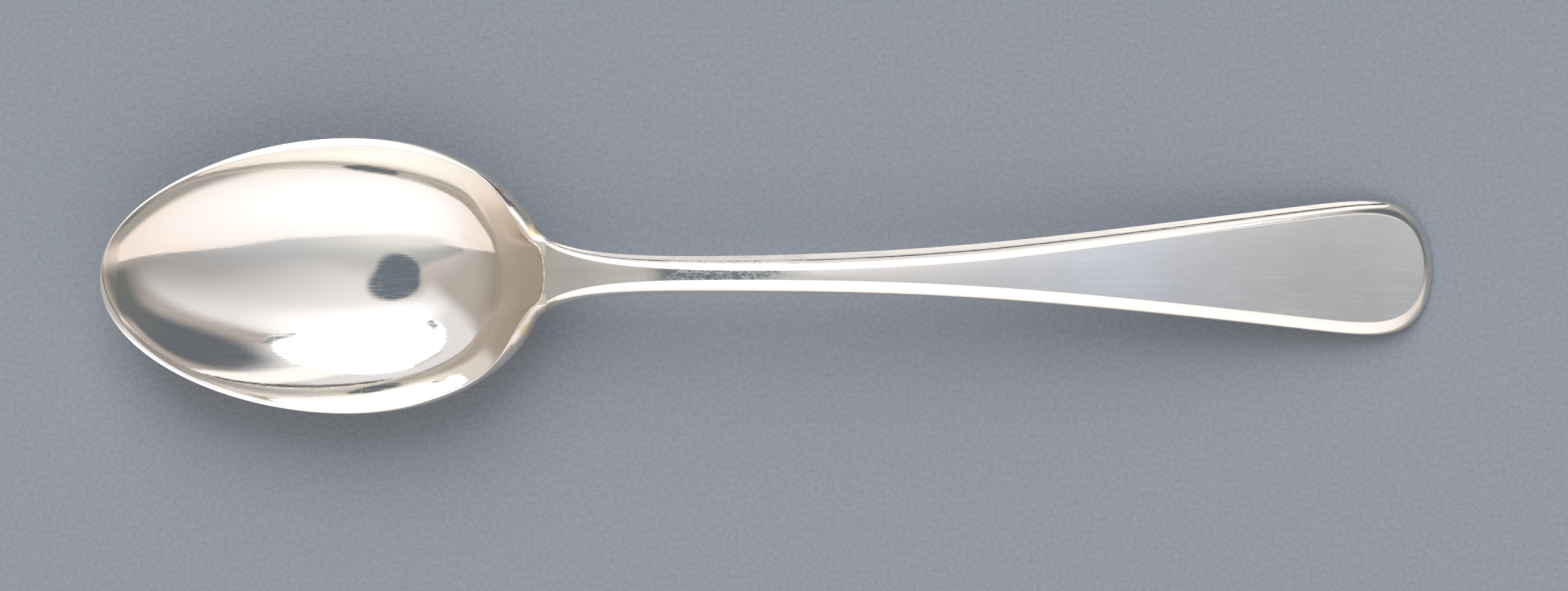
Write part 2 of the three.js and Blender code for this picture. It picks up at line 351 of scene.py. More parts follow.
# A stain with a broken border round one place
def makeTarnish():
    values = ("Place X", "Place Y", "Place Z", "Reach", "Grain", "Cover")
    tree, place, (atX, atY, atZ, reach, grain, cover) = startGroup("tarnish", values, "Mask")
    off = [value - at for value, at in zip(place, (atX, atY, atZ))]
    distance = rootOf(off[0] * off[0] + off[1] * off[1] + off[2] * off[2]) / reach
    point = tree.nodes.new("ShaderNodeCombineXYZ")
    for slot, value in zip(point.inputs, place):
        feed(tree, slot, value * grain)
    noise = addNode(tree, "ShaderNodeTexNoise", Vector=point.outputs[0], Scale=1.0, Detail=4.0)
    broken = Field(tree, noise.outputs[0], place[0].made)
    return endGroup(tree, softEdge(1 - distance + (broken - 0.5) * borderBreak, borderSoft) * cover)


# Soft unevenness left by the hammer and by polishing, in millimetres of height
def makeHammering():
    values = ("Wave", "Height", "Seed", "Stretch")
    tree, place, (wave, height, seed, stretch) = startGroup("hammering", values, "Height")
    place[0] = place[0] / stretch
    point = tree.nodes.new("ShaderNodeCombineXYZ")
    for slot, value in zip(point.inputs, place):
        feed(tree, slot, value / wave + seed)
    noise = addNode(tree, "ShaderNodeTexNoise", Vector=point.outputs[0],
                    Scale=1.0, Detail=1.0, Roughness=0.4)
    return endGroup(tree, (Field(tree, noise.outputs[0], place[0].made) - 0.5) * height)


hairScratches = makeHairScratches()
tarnish = makeTarnish()
hammering = makeHammering()


def placeGroup(tree, group, vector, **values):
    node = tree.nodes.new("ShaderNodeGroup")
    node.node_tree = group
    tree.links.new(vector, node.inputs["Vector"])
    for key, value in values.items():
        node.inputs[key.replace("_", " ")].default_value = value
    return Field(tree, node.outputs[0], {})


# Shared by all finishes
shared = {
    "scratchFade": 4,
    "hazeDrift": 14,  # how far the clouds push a haze's ends
    "hazeUneven": 0.8,  # their share in its roughness
    "flatFade": 0.5,
    "plateEnd": 206,  # past this station a haze covers the bevel too
    "plateEndFade": 3,
    "seamFade": 0.05,
    "smoothest": 0.02,
}


def metalMaterial(name, finish):
    material = bpy.data.materials.new(name)
    material.use_nodes = True
    tree = material.node_tree
    shader = tree.nodes["Principled BSDF"]
    vector = tree.nodes.new("ShaderNodeTexCoord").outputs["Object"]
    split = addNode(tree, "ShaderNodeSeparateXYZ", i0=vector)
    along = (Field(tree, split.outputs["X"], {}) - tipX) / mm
    across = Field(tree, split.outputs["Y"], {}) / mm
    placeKeys = ("Place_X", "Place_Y", "Place_Z", "Reach", "Grain", "Cover")
    lineKeys = ("Turn", "Length", "Spacing", "Width", "Bow", "Share", "Seed")
    waveKeys = ("Wave", "Height", "Seed", "Stretch")

    def onPiece(group, keys, values):
        return placeGroup(tree, group, vector, **dict(zip(keys, values)))

    height, worn, stained = 0, 0, 0
    for values in finish["hammering"]:
        height = height + onPiece(hammering, waveKeys, values)
    for values in finish.get("dents", []):
        mask = onPiece(tarnish, placeKeys, values)
        height = height + mask * onPiece(hammering, waveKeys, values[len(placeKeys):])
    for values in finish["scratches"]:
        worn = worn + onPiece(hairScratches, lineKeys, values)
    for values in finish.get("scuffs", []):
        mask = onPiece(tarnish, placeKeys, values)
        worn = worn + mask * onPiece(hairScratches, lineKeys, values[len(placeKeys):])
    for values in finish["stains"]:
        stained = larger(stained, onPiece(tarnish, placeKeys, values))
    worn = smaller(worn, 1.0) * softEdge(along - finish["scratchFrom"], shared["scratchFade"])
    scale = 1 / (finish["cloudSize"] * mm)
    cloud = addNode(tree, "ShaderNodeTexNoise", Vector=vector, Scale=scale, Detail=5.0, Roughness=0.6)
    cloudy = Field(tree, cloud.outputs[0], {}) - 0.5
    rough = finish["roughness"] + finish["cloud"] * cloudy + finish["scratchRoughness"] * worn
    colour = (*finish["colour"], 1)
    # each haze roughens the metal, and its tone is painted over the colour as painted shade or a painted
    # cool reflection
    for start, end, soft, roughness, tone in finish.get("hazesAndPaintedLight", []):
        drift = shared["hazeDrift"] * cloudy
        mask = softEdge(along - start + drift, soft) * softEdge(end - along + drift, soft)
        flat = softEdge(flatTop(along, across), shared["flatFade"])
        mask = mask * larger(flat, softEdge(along - shared["plateEnd"], shared["plateEndFade"]))
        rough = rough + roughness * mask * (1 + shared["hazeUneven"] * cloudy)
        colour = paintOver(tree, colour, mask, tone)
    # each dull patch roughens the metal, and its tone is painted over the colour, mostly as painted shade
    for station, reach, soft, start, end, half, fade, roughness, tone in finish.get("dullAndShade", []):
        distance = rootOf((along - station) ** 2 + across ** 2)
        mask = softEdge(distance - reach, soft) * softEdge(along - start, fade) * softEdge(end - along, fade)
        mask = mask * softEdge(half - sizeOf(across), fade)
        rough = rough + roughness * mask
        colour = paintOver(tree, colour, mask, tone)
    if "stainBefore" in finish:
        stained = softEdge(finish["stainBefore"] - along, shared["seamFade"])
    rough = rough + finish["stainRoughness"] * stained
    colour = paintOver(tree, colour, stained, finish["stain"])
    tree.links.new(colour, shader.inputs["Base Color"])
    shader.inputs["Metallic"].default_value = 1
    feed(tree, shader.inputs["Roughness"], larger(rough, shared["smoothest"]))
    bump = addNode(tree, "ShaderNodeBump", Distance=mm, Height=height - finish["scratchDepth"] * worn)
    tree.links.new(bump.outputs[0], shader.inputs["Normal"])
    return material


# The bowl
bowlSizes = {
    "length": seamAt,
    "width": measure(bowlBox[0].y, bowlBox[1].y),
    "widestAt": 39.2,
    "rimAtTip": 1.1,
    "rimAtSide": 0.98,
    "rimAtSeam": 0.25,
    "rimEdgeDrop": 0.55,
    "tipDrop": 0.22,  # the tip is worn flat, more so on one side
    "tipLean": 0.12,
    "tipTurn": -2.85,
    "tipSpread": 0.45,
    "tipLift": 0.7,  # the rim stands steeper at the tip
    "tipLiftSpread": 0.2,
    "tipLiftFade": 24,
    "rimLean": 0.5,  # slope of the rim's roll where it leaves the hollow
    "upperNeckLean": 0.1,
    "lowerNeckLean": 0.25,
    "leanTurn": 1.05,
    "rimThickness": 1,
    "rimUndercut": 0.25,
    "lipRound": 0.14,  # rounding of the hollow's edge
    "hollowShift": -0.29,  # use has worn the rim thinner on one side
    "thinRim": 0.024,
    "thinRimTurn": 2.6,
    "thinRimSpread": 0.2,
    "hollowDepth": 9.6,
    "bottomWall": 1,
    "hollowRound": 0.4,
    "hollowLean": 0.26,
    "leanFade": 8,
    "rimLowAt": 38,
    "tipRise": 1.4,
    "neckRise": 2.2,
    "wornFlat": 0.2,
    "shoulderPinch": 0.36,
    "shoulderTurn": 0.445,
    "shoulderSpread": 0.235,
    "shoulderBlend": 1.1,
    "shoulderDrop": 0.7,
    "shoulderDropTurn": 0.72,
    "shoulderDropSpread": 0.25,
    "underLip": 0.5,
    "neckReach": 6.2,
    "neckThickness": 3.4,
    "neckTuck": 0.7,
    "neckTurn": 0.24,
    "neckPower": 4.54,
    "neckBlend": 0.56,
    "neckBlendPower": 4,
    "neckFade": 6,
    "reachFade": 8,
    "rootThickness": 4.8,
    "edgeShare": 0.5,
    "bevelWidth": 3,
    "upperNeckBevel": 0.354,
    "upperNeckDrop": 0.616,
    "upperNeckTurn": 0.5,
    "neckSettle": 2.2,
    "lowerNeckBevel": 0.88,
    "neckBevelTurn": 0.34,
}
bowlFacets = {"columns": 360, "crowding": 0.6, "hollow": 90, "lip": 6, "rim": 20, "turn": 14, "under": 60}


bowlFinish = {
    "colour": (0.9, 0.85, 0.78),
    "roughness": 0.035,
    "cloud": 0.05,
    "cloudSize": 9,
    # wave, height, seed, stretch
    "hammering": [(9, 0.012, 3, 1), (3.5, 0.0022, 11, 1), (0.5, 0.00035, 17, 1), (0.2, 0.0014, 31, 30)],
    # place, reach, grain and cover, then a hammering
    "dents": [(-51.8, -3.3, 5, 6, 0.15, 1, 2.4, 0.012, 23, 1)],
    # rougher patches at the ends of the hollow, with painted shade: the rear of the hollow and the strip
    # before the seam are painted darker, and the tip's patch is a little darker:
    # station, reach, softness, start, end, half width, fade, roughness, tone
    "dullAndShade": [
        # painted shade: the rear of the hollow darker and browner
        (40, 22.9, 1.2, 54, 90, 11, 5, 0.3, (0.77, 0.7, 0.61)),
        (44, 41.2, 0.8, -30, 12, 11, 6, 0.2, (0.85, 0.78, 0.69)),
        # painted shade: the strip before the seam darker grey, like the neck
        (66.5, 3.75, 0.3, 68.6, 90, 3, 0.6, -0.2, (0.7, 0.66, 0.62)),
    ],
    # turn, length, spacing, width, bow, share, seed
    "scratches": [
        (2, 9, 0.3, 0.03, 0.4, 0.6, 1),
        (-6, 7, 0.4, 0.03, 0.5, 0.5, 2),
        (10, 6, 0.45, 0.03, 0.6, 0.4, 3),
        (26, 5, 1.2, 0.036, 0.9, 0.2, 4),
        (82, 3, 0.9, 0.036, 0.6, 0.16, 5),
    ],
    "scratchFrom": 5,  # the tip is rubbed smooth
    "scratchRoughness": 0.2,
    "scratchDepth": 0.0005,
    "stain": (0.74, 0.56, 0.3),
    "stainRoughness": 0.12,
    # place, reach, grain, cover
    "stains": [
        (-41.8, 13.4, 11.5, 0.8, 2.2, 0.6),
        (-36.6, 6.8, 12, 1.2, 1.3, 0.7),
        (-38, -8.6, 11.5, 1.1, 1.2, 0.5),
    ],
}


def eggPoint(egg, reach, turn):
    along = reach * cosineOf(turn)
    skew = ((egg.tip + egg.back) / 2 - egg.widest) / 2
    x = egg.widest + (egg.back - egg.tip) / 2 * along + 2 * skew * along ** 2
    return x, egg.half * reach * sineOf(turn), along


def outerEgg(s):
    return SimpleNamespace(tip=0, back=s.length, widest=s.widestAt, half=s.width / 2)


def hollowEgg(s):
    return SimpleNamespace(tip=s.rimAtTip, back=s.length - s.rimAtSeam, widest=s.widestAt,
                           half=s.width / 2 - s.rimAtSide)


def underEgg(s):
    return SimpleNamespace(tip=s.rimUndercut, back=s.length - s.rimUndercut, widest=s.widestAt,
                           half=s.width / 2 - s.rimUndercut)


# The rim's height is a cubic through the tip and the joint, lowest between them
def rimBend(s):
    return (s.neckRise / (s.length - s.rimLowAt) ** 2 - s.tipRise / s.rimLowAt ** 2) / s.length


def rimCurve(s):
    return s.tipRise / s.rimLowAt ** 2 + rimBend(s) * s.rimLowAt


def rimRise(s, x):
    offset = x - s.rimLowAt
    return (rimCurve(s) + rimBend(s) * offset) * offset ** 2


def rimSlope(s, x):
    offset = x - s.rimLowAt
    return (2 * rimCurve(s) + 3 * rimBend(s) * offset) * offset


def rimHeight(s, x):
    return s.rimLow + rimRise(s, x)


def dishShare(s, reach, along):
    dish = 1 - s.hollowRound * reach ** 2 - (1 - s.hollowRound) * reach ** 4
    return dish * (1 + s.hollowLean * along * (1 - reach ** s.leanFade))


def underDepth(s):
    return s.hollowDepth + s.bottomWall - s.rimThickness


def neckShare(s, turn):
    return swell(turn, s.neckBlend, s.neckBlendPower)


def neckExtra(s, turn):
    return s.neckReach * swell(turn, s.neckTurn, s.neckPower)


def nearTurn(turn, middle, spread):  # 1 at one place on the rim, fading either way round
    return swell(1 - cosineOf(turn - middle), spread, bellPower)


def tipRaise(s, turn):
    return s.tipLift * nearTurn(turn, math.pi, s.tipLiftSpread)


def sideDrop(s, turn):
    near = swell(turn, s.shoulderBlend, s.neckBlendPower)
    shoulder = s.shoulderDrop * swell(sizeOf(turn) - s.shoulderDropTurn, s.shoulderDropSpread, bellPower)
    rim = mix(s.rimEdgeDrop, s.tipDrop, nearTurn(turn, s.tipTurn, s.tipSpread))
    return mix(rim, s.rootThickness * s.edgeShare, near) + shoulder


def rollDrop(lean, share):  # from a slope at the start to upright at the end
    return lean * share + (1 - lean) * (1 - rootOf(larger(1 - share * share, 0.0)))


def settleDrop(settle, share):  # from flat to a slope that soon stays even
    return (share * (settle + 1) - 1 + (1 - share) ** (settle + 1)) / settle


sideGain = 2  # how soon one side of the neck gives way to the other


# The two sides of the neck differ; they meet halfway in the middle
def upperTurn(turn):
    return smaller(larger(0.5 + sideGain * sineOf(turn), 0.0), 1.0)


def neckBevel(s, turn):
    narrow = mix(s.lowerNeckBevel, s.upperNeckBevel, upperTurn(turn))
    return mix(s.bevelWidth, narrow, swell(turn, s.neckBevelTurn, plateauPower))


def upperNeck(s, turn):
    return upperTurn(turn) * swell(turn, s.upperNeckTurn, plateauPower)


def edgeDrop(s, turn):
    return mix(sideDrop(s, turn), s.upperNeckDrop, upperNeck(s, turn))


def rollLean(s, turn):
    near = mix(s.lowerNeckLean, s.upperNeckLean, upperTurn(turn))
    rim = mix(s.rimLean, s.tipLean, nearTurn(turn, s.tipTurn, s.tipSpread))
    return mix(rim, near, swell(turn, s.leanTurn, plateauPower))


def hollowPoint(s, reach, turn):
    thin = 1 + s.thinRim * nearTurn(turn, s.thinRimTurn, s.thinRimSpread)
    x, y, along = eggPoint(hollowEgg(s), reach * thin, turn)
    shoulder = swell(sizeOf(turn) - s.shoulderTurn, s.shoulderSpread, bellPower)
    pinch = s.shoulderPinch * shoulder * reach ** s.neckFade
    worn = s.hollowShift * (reach * sineOf(turn)) ** 2
    z = rimHeight(s, x) + tipRaise(s, turn) * reach ** s.tipLiftFade
    return [x, y * (1 - pinch) + worn, z - s.hollowDepth * dishShare(s, reach, along)]


def edgePoint(s, turn):
    x, y, along = eggPoint(outerEgg(s), 1, turn)
    out = x + neckExtra(s, turn)
    return [out, y, rimHeight(s, out) + tipRaise(s, turn) - edgeDrop(s, turn)]


def rimWidth(s, turn):
    inner, outer = hollowPoint(s, 1, turn), edgePoint(s, turn)
    return rootOf((outer[0] - inner[0]) ** 2 + (outer[1] - inner[1]) ** 2)


def rimPoint(s, share, turn):
    x, y, z = mixPoints(hollowPoint(s, 1, turn), edgePoint(s, turn), share)
    width = rimWidth(s, turn)
    bevel = larger(1 - (1 - share) * width / smaller(width, neckBevel(s, turn)), 0.0)
    roll = mix(rollDrop(rollLean(s, turn), bevel), settleDrop(s.neckSettle, bevel), upperNeck(s, turn))
    return [x, y, rimHeight(s, x) + tipRaise(s, turn) - edgeDrop(s, turn) * roll]


def underPoint(s, reach, turn):
    x, y, along = eggPoint(underEgg(s), reach, turn)
    near = neckShare(s, turn) * reach ** s.neckFade
    out = x + neckExtra(s, turn) * reach ** s.reachFade
    gain = (s.neckThickness - s.underLip) / (s.rootThickness * s.edgeShare)
    thickness = mix(s.rimThickness, s.underLip + gain * sideDrop(s, turn), reach ** s.neckFade)
    z = rimHeight(s, out) + tipRaise(s, turn) * reach ** s.tipLiftFade
    z = z - thickness - underDepth(s) * dishShare(s, reach, along)
    return [out, y * (1 - s.neckTuck / s.neckHalf * near), larger(z, 0.0)]


# The rounding below the broadest line
def turnUnder(s, edge, under, share):
    return bend(edge, [edge[0], edge[1], mix(edge[2], under[2], s.edgeShare)], under, share)


keelSteps = 100


# Sets the rim's height so that the worn flat lies on the floor
def settleBowl(sizes):
    s = SimpleNamespace(**sizes, rimLow=0)
    keel = []
    for step in range(-keelSteps, keelSteps + 1):
        reach = step / keelSteps
        x, y, along = eggPoint(underEgg(s), reach, 0)
        keel.append(rimRise(s, x) - s.rimThickness - underDepth(s) * dishShare(s, reach, along))
    s.rimLow = -min(keel) - s.wornFlat
    seamTurn = findRise(lambda turn: -edgePoint(s, turn)[0], 0, s.neckBlend, -s.length)
    sizes.update(rimLow=s.rimLow, neckHalf=edgePoint(s, seamTurn)[1])


def makeBowl(material):
    tree, s = startTree("bowlShape", bowlSizes)
    columns = bowlFacets["columns"]

    def turnAt(across):
        around = (2 * across - 1) * math.pi
        return around - bowlFacets["crowding"] * sineOf(around)

    def onHollow(across, along):
        return hollowPoint(s, (1 - along) * (1 - s.lipRound / (s.width / 2)), turnAt(across))

    def onLip(across, along):
        turn = turnAt(across)
        inner = hollowPoint(s, 1 - s.lipRound / (s.width / 2), turn)
        outer = rimPoint(s, s.lipRound / rimWidth(s, turn), turn)
        return bend(inner, hollowPoint(s, 1, turn), outer, 1 - along)

    def onRim(across, along):
        turn = turnAt(across)
        start = s.lipRound / rimWidth(s, turn)
        return rimPoint(s, mix(start, 1, 1 - along ** edgeCrowding), turn)

    def onTurn(across, along):
        turn = turnAt(across)
        return turnUnder(s, edgePoint(s, turn), underPoint(s, 1, turn), 1 - along)

    def onUnder(across, along):
        return underPoint(s, along, turnAt(across))

    sheets = [
        addSheet(tree, columns, bowlFacets["hollow"], onHollow),
        addSheet(tree, columns, bowlFacets["lip"], onLip),
        addSheet(tree, columns, bowlFacets["rim"], onRim),
        addSheet(tree, columns, bowlFacets["turn"], onTurn),
        addSheet(tree, columns, bowlFacets["under"], onUnder),
    ]
    endTree(tree, sheets, material)
    bowl = runTree(tree, bowlSizes, "bowlSilver")
    closeAt(bowl, seamAt, cut=True)
    return bowl


# The stem; in the photograph its end is a little longer and broader than the solid's
endLonger = 0.85
endBroader = 0.39
stemSizes = {
    "length": spoonLength + endLonger,
    "seamAt": seamAt,
    "stemAt": stemAt,
    "endWidth": measure(stemBox[0].y, stemBox[1].y) + endBroader,
    "waistWidth": 5.43,
    "endWideLength": 10,
    "endRoundLength": 36.6,
    "endPower": 8.3,
    "flankLength": 80,
    "flankBlend": 14,
    "neckTaper": 2.9,
    "neckTaperLength": 6.47,
    "neckFillet": 0.67,
    "sway": 4.36,  # the stem is bent a little sideways
    "swayTurn": 0.552,
    "swayEnd": 0.952,
    "upperBevel": 3.05,  # the bevels broaden from the root
    "upperRootBevel": 1,
    "upperBevelRun": 24,
    "upperSlope": 0.667,  # drop of the upper bevel for its width
    "upperSettle": 2.2,
    "upperMost": 0.75,
    "lowerBevel": 2.05,
    "lowerRootBevel": 1.4,
    "lowerBevelRun": 8,
    "lowerLean": 0.3,
    "sideFade": 36,
    "endBevel": 1.4,
    "underBevel": 1.5,
    "underEndBevel": 0.8,
    "creaseRound": 0.05,  # rounding between the flat top and its bevels, as a share of the bevel
    "rootThickness": 4.8,
    "waistThickness": 3.5,
    "endThickness": 2,
    "thinningLength": 9,
    "thinningPower": 1.3,
    "endSlope": -0.19,
    "archLift": 0.6,
    "archAt": 87.5,
    "archRun": 10,
    "edgeShare": 0.5,
    "crownShare": 0.02,
}
stemFacets = {"columns": 520, "top": 22, "crease": 5, "bevel": 30, "turn": 12, "back": 16}


stemFinish = {
    "colour": (0.9, 0.85, 0.78),
    "roughness": 0.05,
    "cloud": 0.05,
    "cloudSize": 12,
    "hammering": [(12, 0.015, 5, 1), (4, 0.003, 7, 1), (0.35, 0.001, 9, 1), (0.2, 0.0012, 33, 30)],
    # place, reach, grain and cover, then a set of scratches
    "scuffs": [
        (-5, 0.3, 14.5, 11, 0.4, 1, 28, 0.9, 0.2, 0.07, 0.8, 0.75, 41),
        (-5, 0.3, 14.5, 11, 0.4, 1, -38, 0.8, 0.22, 0.07, 0.8, 0.7, 42),
        (-5, 0.3, 14.5, 12, 0.4, 1, 2, 2.4, 0.2, 0.06, 0.5, 0.6, 43),
    ],
    # the plate is clouded, by roughness; the first tone is painted shade at the stem's root, the second a
    # painted cool reflection on the plate, the third darkens the plate's end: start, end, softness,
    # roughness, tone
    "hazesAndPaintedLight": [
        # painted shade: the stem's root darker grey
        (30, 80, 14, 0.08, (0.7, 0.66, 0.62)),
        # painted reflection: a cool tint on the plate's flat
        (142, 180, 44, 0.16, (0.87, 0.89, 0.92)),
        (186, 240, 40, 0.16, (0.78, 0.78, 0.74)),
    ],
    "scratches": [
        (0, 8, 0.28, 0.024, 0.3, 0.2, 11),
        (5, 4, 0.4, 0.024, 0.5, 0.12, 12),
        (-9, 3.5, 0.45, 0.024, 0.6, 0.09, 13),
        (35, 5, 2.5, 0.024, 1.6, 0.1, 14),
        (-62, 2, 1.4, 0.024, 0.8, 0.06, 15),
    ],
    "scratchFrom": 0,
    "scratchRoughness": 0.26,
    "scratchDepth": 0.0012,
    "stain": (0.66, 0.53, 0.36),
    "stainRoughness": 0.06,
    "stains": [
        (-34.3, 4.9, 13, 1.2, 1.6, 0.4),
        (-33.9, -4.9, 13, 1.2, 1.6, 0.4),
    ],
}


def topHeight(s, x):
    run = s.length - s.seamAt
    share = (x - s.seamAt) / run
    end = s.endThickness + s.endSlope * s.underEndBevel
    settled = share ** 2 * (3 - 2 * share)
    leaving = share * (1 - share) ** 2 * s.rootSlope * run
    arriving = share ** 2 * (share - 1) * s.endSlope * run
    arch = tanhOf((x - s.archAt) / s.archRun) - tanhOf((s.seamAt - s.archAt) / s.archRun)
    return mix(s.rootHeight, end, settled) + leaving + arriving + s.archLift / 2 * arch * (1 - share)


def stemThickness(s, x):
    share = (x - s.seamAt) / (s.length - s.seamAt)
    root = (s.rootThickness - s.waistThickness) * expOf(-(x - s.seamAt) / s.thinningLength)
    thinning = larger(1 - share, 0.0) ** s.thinningPower
    return s.endThickness + (s.waistThickness - s.endThickness) * thinning + root


def flankRun(s, x):
    return s.flankBlend * logOf(1 + expOf((x - s.length + s.flankLength) / s.flankBlend), math.e)


def endRound(s, x, end):
    start = s.length - s.endRoundLength
    share = smaller(larger((x - start) / (end - start), 0.0), 1.0)
    return rootOf(larger(1 - share ** s.endPower, 0.0))


def stemHalf(s, x, inset, end):
    wideAt = s.length - s.endWideLength
    broad = s.endWidth / 2 / endRound(s, wideAt, s.length)
    flank = (broad - s.waistWidth / 2) * flankRun(s, x) / flankRun(s, wideAt)
    slow = s.neckTaper * expOf(-(x - s.seamAt) / s.neckTaperLength)
    quick = (s.neckHalf - s.waistWidth / 2 - s.neckTaper) * expOf(-(x - s.seamAt) / s.neckFillet)
    return (s.waistWidth / 2 + flank + slow + quick - inset) * endRound(s, x, end)


def swayAt(s, x):
    share = (x - s.seamAt) / (s.length - s.seamAt)
    return -s.sway * share * (share - s.swayTurn) * (share - s.swayEnd)


def outlineAt(s, share, endInset):
    end = s.length - endInset
    return mix(s.stemAt, end, share), end


# How far a side counts as the upper one; the two meet halfway at the end
def upperShare(s, share, side):
    return 0.5 + 0.5 * side * (1 - share ** s.sideFade)


def bevelBand(s, x, upper):
    low = mix(s.lowerBevel, s.lowerRootBevel, expOf(-(x - s.seamAt) / s.lowerBevelRun))
    high = mix(s.upperBevel, s.upperRootBevel, expOf(-(x - s.seamAt) / s.upperBevelRun))
    return mix(low, smaller(high, s.upperMost * stemThickness(s, x) / s.upperSlope), upper)


def flatTop(x, y):  # how far inside the flat between the bevels a place is
    s = SimpleNamespace(**stemSizes)
    off = y - swayAt(s, x)
    band = bevelBand(s, x, mathNode("GREATER_THAN", off, 0.0))
    return stemHalf(s, x, band, s.length - s.endBevel) - sizeOf(off)


def topPoint(s, share, side, part):
    x, end = outlineAt(s, share, s.endBevel)
    half = stemHalf(s, x, bevelBand(s, x, upperShare(s, share, side)), end)
    return [x, side * part * half + swayAt(s, x), topHeight(s, x) - s.crownShare * half * part ** 2]


def bevelPoint(s, share, side, part):
    flatX, flatY, flatZ = topPoint(s, share, side, 1)
    edgeX, end = outlineAt(s, share, 0)
    x = mix(flatX, edgeX, part)
    y = mix(flatY, side * stemHalf(s, edgeX, 0, end) + swayAt(s, edgeX), part)
    low = stemThickness(s, x) * s.edgeShare * rollDrop(s.lowerLean, part)
    high = s.upperSlope * bevelBand(s, x, 1) * settleDrop(s.upperSettle, part)
    drop = mix(low, high, upperShare(s, share, side))
    return [x, y, flatZ + topHeight(s, x) - topHeight(s, flatX) - drop]


def backPoint(s, share, side, part):
    x, end = outlineAt(s, share, s.underEndBevel)
    half = stemHalf(s, x, s.underBevel, end)
    return [x, side * part * half + swayAt(s, x), topHeight(s, x) - stemThickness(s, x)]


def settleStem(sizes, bowl):
    s = SimpleNamespace(**bowl)
    sizes.update(rootHeight=rimHeight(s, seamAt), rootSlope=rimSlope(s, seamAt), neckHalf=s.neckHalf)


def makeStem(material):
    tree, s = startTree("stemShape", stemSizes)
    columns = stemFacets["columns"]

    # The columns run from one side of the root round the end to the other side
    def shareAt(across):
        side = mathNode("SIGN", across - 0.5)
        return (1 - cosineOf((1 - sizeOf(2 * across - 1)) * math.pi)) / 2, side

    def onTop(across, along):
        share, side = shareAt(across)
        return topPoint(s, share, side, (1 - along) * (1 - s.creaseRound))

    def onCrease(across, along):
        share, side = shareAt(across)
        inner = topPoint(s, share, side, 1 - s.creaseRound)
        outer = bevelPoint(s, share, side, s.creaseRound)
        return bend(inner, topPoint(s, share, side, 1), outer, 1 - along)

    def onBevel(across, along):
        share, side = shareAt(across)
        return bevelPoint(s, share, side, mix(s.creaseRound, 1, 1 - along ** edgeCrowding))

    def onTurn(across, along):
        share, side = shareAt(across)
        return turnUnder(s, bevelPoint(s, share, side, 1), backPoint(s, share, side, 1), 1 - along)

    def onBack(across, along):
        share, side = shareAt(across)
        return backPoint(s, share, side, along)

    sheets = [
        addSheet(tree, columns, stemFacets["top"], onTop),
        addSheet(tree, columns, stemFacets["crease"], onCrease),
        addSheet(tree, columns, stemFacets["bevel"], onBevel),
        addSheet(tree, columns, stemFacets["turn"], onTurn),
        addSheet(tree, columns, stemFacets["back"], onBack),
    ]
    endTree(tree, sheets, material)
    stem = runTree(tree, stemSizes, "stemSilver")
    closeAt(stem, stemAt, cut=False)
    return stem


# The solder: a film over the whole section of the joint, and a bead along the hollow's rear edge
solderSizes = {
    "filmRise": 0.0005,
    "beadTurn": 0.43,
    "beadHalf": 0.14,
    "beadHigh": 0.05,
    "beadWobble": 0.3,
}
beadWaves = {"coarse": 61, "offset": 1, "fine": 143, "fineShare": 0.7}  # waves of the bead's crooked edge
solderFacets = {"film": 3, "profile": 24, "bead": 260, "round": 12}
solderFinish = {
    # painted shade: the film's darker grey, the same as on the neck; the bead's tan comes from the stain
    # below
    "colour": (0.7, 0.66, 0.61),
    "roughness": 0.13,
    "cloud": 0.05,
    "cloudSize": 0.8,
    "hammering": [(0.5, 0.002, 2, 1)],
    "scratches": [(90, 1.5, 0.3, 0.04, 0.6, 0.3, 21)],
    "scratchFrom": 0,
    "scratchRoughness": 0.2,
    "scratchDepth": 0.002,
    "stain": (0.84, 0.76, 0.64),
    "stainRoughness": 0.2,
    "stainBefore": seamAt - 0.04,  # the bead is tan, the film is polished with the neck
    "stains": [],
}


def makeSolder(material):
    tree, s = startTree("solderShape", solderSizes)
    root, rim = SimpleNamespace(**stemSizes), SimpleNamespace(**bowlSizes)
    half = stemHalf(root, stemAt, 0, spoonLength)
    thickness = stemThickness(root, stemAt)
    middle = topHeight(root, stemAt) - thickness * root.edgeShare

    def onFilm(across, point):
        rise = s.filmRise * 4 * across * (1 - across)
        y = point[1] * (1 + rise / half)
        z = middle + (point[2] - middle) * (1 + rise / (thickness / 2))
        return [mix(seamAt, stemAt, across), y, z - root.rootSlope * (stemAt - seamAt) * (1 - across)]

    def zones(side):
        return [
            lambda across, along: onFilm(across, topPoint(root, 0, side, along)),
            lambda across, along: onFilm(across, bevelPoint(root, 0, side, 1 - (1 - along) ** edgeCrowding)),
            lambda across, along: onFilm(across, turnUnder(root, bevelPoint(root, 0, side, 1),
                                                           backPoint(root, 0, side, 1), along)),
            lambda across, along: onFilm(across, backPoint(root, 0, side, along)),
        ]

    def onBead(across, along):
        turn = mix(-s.beadTurn, s.beadTurn, across)
        inner, outer = hollowPoint(rim, 1, turn), edgePoint(rim, turn)
        width = rimWidth(rim, turn)
        coarse = sineOf(turn * beadWaves["coarse"] + beadWaves["offset"])
        wobble = 1 + s.beadWobble * (coarse + sineOf(turn * beadWaves["fine"]) * beadWaves["fineShare"])
        ends = rootOf(larger(1 - (2 * across - 1) ** 4, 0.0))
        around = along * (2 * math.pi)
        reach = s.beadHalf * wobble * ends * cosineOf(around) / width
        x, y = [mix(a, b, reach) for a, b in zip(inner[:2], outer[:2])]
        return [x, y, inner[2] + s.beadHigh * ends * sineOf(around)]

    sheets = [addSheet(tree, solderFacets["film"], solderFacets["profile"], zone)
              for side in (-1, 1) for zone in zones(side)]
    sheets.append(addSheet(tree, solderFacets["bead"], solderFacets["round"], onBead))
    endTree(tree, sheets, material)
    solder = runTree(tree, solderSizes, "solderBead")
    closeAt(solder, stemAt, cut=False)
    return solder


